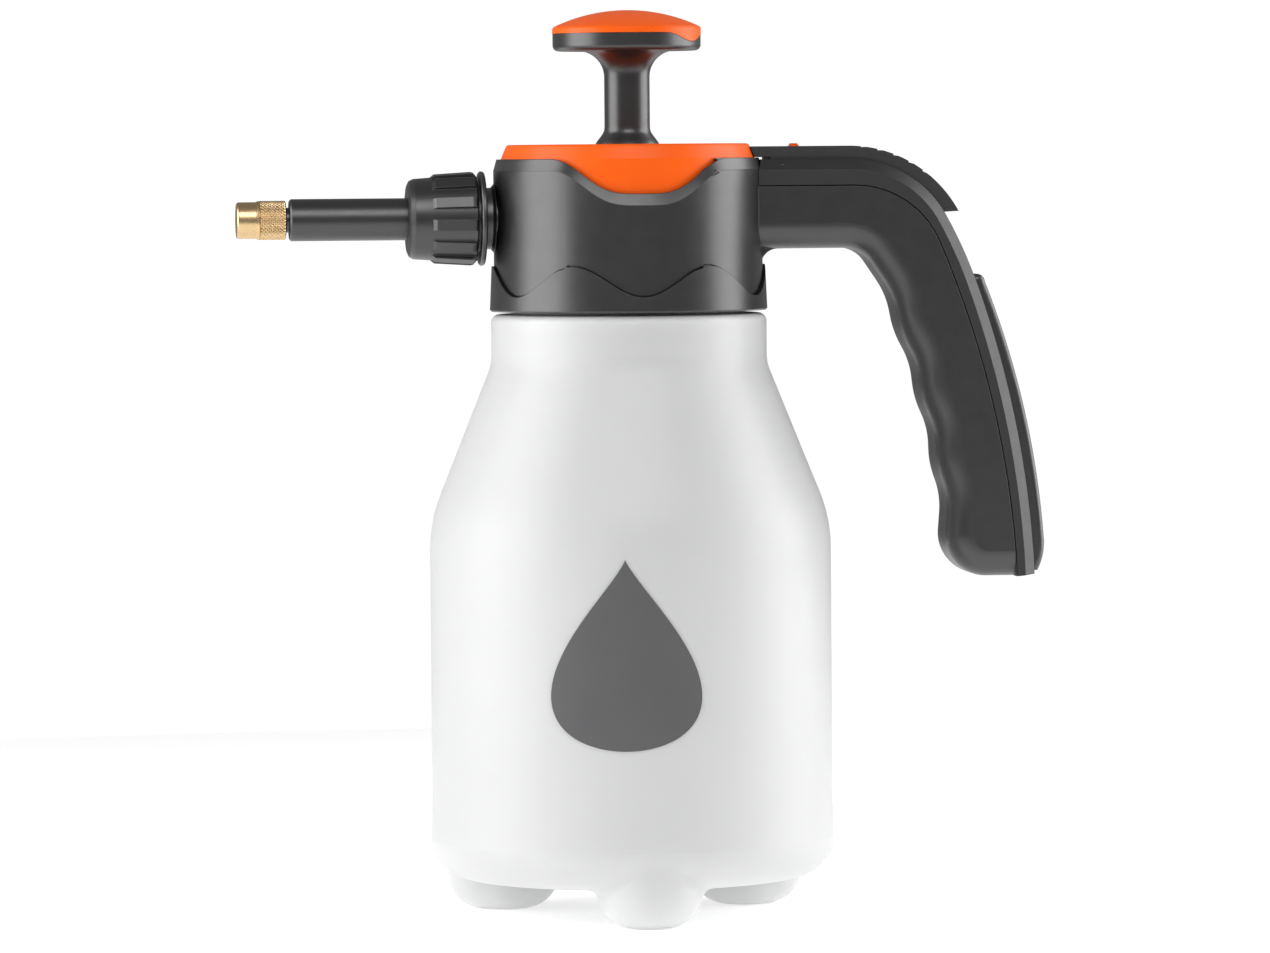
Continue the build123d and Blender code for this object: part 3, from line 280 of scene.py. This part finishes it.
# ---- brass nozzle with its diamond knurl ----
cap_low, cap_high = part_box("nozzle_cap")
nozzle_z = (cap_low[2] + cap_high[2]) / 2 / MM
tip_x = cap_low[0] / MM
back_x = cap_high[0] / MM
KNURL_R = 6.2
KNURL_DEPTH = 0.42
KNURL_COUNT = 34
KNURL_STEPS = 8
KNURL_ROWS = 70
KNURL_PITCH = 2 * math.pi * KNURL_R / KNURL_COUNT
KNURL_FROM_TIP = 7.3
KNURL_FROM_BACK = 0.35
TIP_R = 5.75
TIP_EDGE_R = 0.9
TIP_EDGE_STEPS = 6
TIP_WALL = 2.7
ORIFICE_R = 0.5
POST_R = 3.95
TURN_STEPS = KNURL_COUNT * KNURL_STEPS
NOZZLE_CREASE = 50


def turned_ring(x, radius_at):
    """Ring of points round the nozzle's axis, with a radius that may change with the angle."""
    ring = []
    for i in range(TURN_STEPS):
        angle = 2 * math.pi * i / TURN_STEPS
        r = radius_at(angle)
        ring.append((x * MM, r * math.cos(angle) * MM, (nozzle_z + r * math.sin(angle)) * MM))
    return ring


def plain(radius):
    """Radius that is the same all round."""
    return lambda angle: radius


def saw(value):
    """0 in the valleys between the ridges of a knurl and 1 on their crests."""
    return 1 - abs(2 * (value - math.floor(value)) - 1)


def knurled(x, fade):
    """Radius of a diamond knurl at one place along the nozzle; fade runs it out at its ends."""
    def radius_at(angle):
        along = x / KNURL_PITCH
        around = angle * KNURL_COUNT / (2 * math.pi)
        height = min(saw(around + along), saw(around - along)) ** 0.8
        return KNURL_R - KNURL_DEPTH * (1 - height) * fade
    return radius_at


# from the orifice out over its shallow dimple, the round edge of the tip and the collar
outer = [
    (tip_x + 1.0, ORIFICE_R),
    (tip_x + 0.35, 1.2),
    (tip_x + 0.1, 1.9),
    (tip_x + 0.02, 2.5),
    (tip_x, 2.7),
]
for i in reversed(range(TIP_EDGE_STEPS + 1)):
    turn = math.pi / 2 * i / TIP_EDGE_STEPS
    across = TIP_EDGE_R * (1 - math.sin(turn))
    outer.append((tip_x + across, TIP_R - TIP_EDGE_R + TIP_EDGE_R * math.cos(turn)))
knurl_start = tip_x + KNURL_FROM_TIP
knurl_end = back_x - KNURL_FROM_BACK
outer += [
    (knurl_start - 1.3, TIP_R),
    (knurl_start - 1.0, TIP_R + 0.05),
    (knurl_start - 0.7, 6.02),
    (knurl_start - 0.25, 6.1),
    (knurl_start - 0.1, 5.95),
]
nozzle_rings = [turned_ring(x, plain(r)) for x, r in outer]
for i in range(KNURL_ROWS + 1):
    x = knurl_start + (knurl_end - knurl_start) * i / KNURL_ROWS
    rows_in = min(i, KNURL_ROWS - i)
    nozzle_rings.append(turned_ring(x, knurled(x, min(1.0, 0.4 + rows_in / 2))))
# round the back and in along the hole to the inside of the tip
inner = [
    (back_x - 0.1, 5.9),
    (back_x, 5.6),
    (back_x, POST_R + 0.3),
    (back_x - 0.3, POST_R),
    (tip_x + TIP_WALL, POST_R),
    (tip_x + TIP_WALL, ORIFICE_R),
]
nozzle_rings += [turned_ring(x, plain(r)) for x, r in inner]
nozzle = add_piece(
    "nozzle_shell", *loops(nozzle_rings), "nozzle", "brass", materials["brass"], NOZZLE_CREASE
)
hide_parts("nozzle_cap")

# ---- printed drop on the front of the tank ----
INK_OUT = 0.07
INK_IN = -0.02
PRINT_LOW = 56.0
PRINT_HIGH = 115.0
PRINT_HALF_W = 23.8
PRINT_ANGLE = math.radians(-98)
TANK_R = 63.2
DROP_POWER = 1.5
DROP_ROWS = 72
DROP_COLUMNS = 28
DROP_CREASE = 60
widest = max(math.sin(t / 100) * math.sin(t / 200) ** DROP_POWER for t in range(314))


def drop_half_width(share):
    """Half width of the drop from its tip, at 0, to its round foot, at 1."""
    t = math.acos(1 - 2 * share)
    return PRINT_HALF_W * math.sin(t) * math.sin(t / 2) ** DROP_POWER / widest


def on_tank(across, height, lift):
    """Point on the front of the tank, lifted off its wall."""
    angle = PRINT_ANGLE + across / TANK_R
    r = TANK_R + lift
    return (r * math.cos(angle) * MM, r * math.sin(angle) * MM, height * MM)


ink_points = []
ink_faces = []
for lift in (INK_OUT, INK_IN):
    for i in range(DROP_ROWS + 1):
        share = (1 - math.cos(math.pi * i / DROP_ROWS)) / 2
        half = drop_half_width(share)
        for j in range(DROP_COLUMNS + 1):
            across = half * (2 * j / DROP_COLUMNS - 1)
            ink_points.append(on_tank(across, PRINT_HIGH + (PRINT_LOW - PRINT_HIGH) * share, lift))
width = DROP_COLUMNS + 1
layer = width * (DROP_ROWS + 1)
for i in range(DROP_ROWS):
    for j in range(DROP_COLUMNS):
        corner = i * width + j
        quad = (corner, corner + 1, corner + width + 1, corner + width)
        ink_faces.append(quad)
        ink_faces.append(tuple(v + layer for v in reversed(quad)))
    for j in (0, DROP_COLUMNS):
        corner = i * width + j
        ink_faces.append((corner, corner + width, corner + width + layer, corner + layer))
add_piece(
    "drop_print", ink_points, ink_faces, "tank", "dark_plastic", materials["ink"], DROP_CREASE
)

# ---- floor, light, camera ----
# The floor glows enough to run into the backdrop with hardly an edge.
FLOOR_R = 0.75
FLOOR_GLOW = 0.39
floor_mat, _, floor_shader = new_material("floor")
floor_shader.inputs["Base Color"].default_value = (0.92, 0.92, 0.92, 1)
floor_shader.inputs["Roughness"].default_value = 0.7
floor_shader.inputs["Specular IOR Level"].default_value = 0.1
floor_shader.inputs["Emission Color"].default_value = (1, 1, 1, 1)
floor_shader.inputs["Emission Strength"].default_value = FLOOR_GLOW
bpy.ops.mesh.primitive_circle_add(vertices=96, radius=FLOOR_R, fill_type="NGON", location=(0, 0, 0))
floor = bpy.context.object
floor.name = "floor"
dress(floor, floor_mat)

# A white backdrop all round to the camera, and a dimmer room to everything that it lights.
ROOM_LIGHT = 0.24
BACKDROP_LIGHT = 1.02
world = bpy.data.worlds.new("studio")
bpy.context.scene.world = world
world.use_nodes = True
studio = world.node_tree
room = studio.nodes["Background"]
room.inputs["Color"].default_value = (1, 1, 1, 1)
room.inputs["Strength"].default_value = ROOM_LIGHT
backdrop = studio.nodes.new("ShaderNodeBackground")
backdrop.inputs["Color"].default_value = (1, 1, 1, 1)
backdrop.inputs["Strength"].default_value = BACKDROP_LIGHT
ray = studio.nodes.new("ShaderNodeLightPath")
either = studio.nodes.new("ShaderNodeMixShader")
studio.links.new(ray.outputs["Is Camera Ray"], either.inputs["Fac"])
studio.links.new(room.outputs["Background"], either.inputs[1])
studio.links.new(backdrop.outputs["Background"], either.inputs[2])
studio.links.new(either.outputs["Shader"], studio.nodes["World Output"].inputs["Surface"])
bpy.context.scene.view_settings.view_transform = "Standard"


def soft_box(name, place, aim, width, height, power):
    """Rectangular soft light that looks at a point."""
    data = bpy.data.lights.new(name, "AREA")
    data.shape = "RECTANGLE"
    data.size = width
    data.size_y = height
    data.energy = power
    lamp = bpy.data.objects.new(name, data)
    bpy.context.scene.collection.objects.link(lamp)
    lamp.location = place
    lamp.rotation_euler = (Vector(aim) - Vector(place)).to_track_quat("-Z", "Y").to_euler()


SIDE_POWER = 13.4
FRONT_POWER = 15
soft_box("box_left", (-1.1, -0.12, 0.45), (0, 0, 0.2), 1.0, 1.2, SIDE_POWER)
soft_box("box_right", (1.1, 0.05, 0.45), (0, 0, 0.2), 1.0, 1.2, SIDE_POWER)
soft_box("box_front", (0, -1.6, 1.5), (0, 0, 0.15), 1.4, 1.0, FRONT_POWER)

CAMERA_AZIMUTH = -6.5
CAMERA_DISTANCE = 2.268
CAMERA_HEIGHT = 0.2375
AIM = Vector((0.0016, 0, 0.1378))
CAMERA_ROLL = -0.45
LENS = 204.1

azimuth = math.radians(CAMERA_AZIMUTH)
camera_data = bpy.data.cameras.new("camera")
camera_data.lens = LENS
camera_data.sensor_width = 36
camera = bpy.data.objects.new("camera", camera_data)
bpy.context.scene.collection.objects.link(camera)
camera.location = (
    CAMERA_DISTANCE * math.sin(azimuth), -CAMERA_DISTANCE * math.cos(azimuth), CAMERA_HEIGHT
)
look = (AIM - camera.location).to_track_quat("-Z", "Y").to_matrix().to_4x4()
camera.rotation_euler = (look @ Matrix.Rotation(math.radians(CAMERA_ROLL), 4, "Z")).to_euler()
camera_data.clip_start = 0.01
camera_data.clip_end = 100
bpy.context.scene.camera = camera
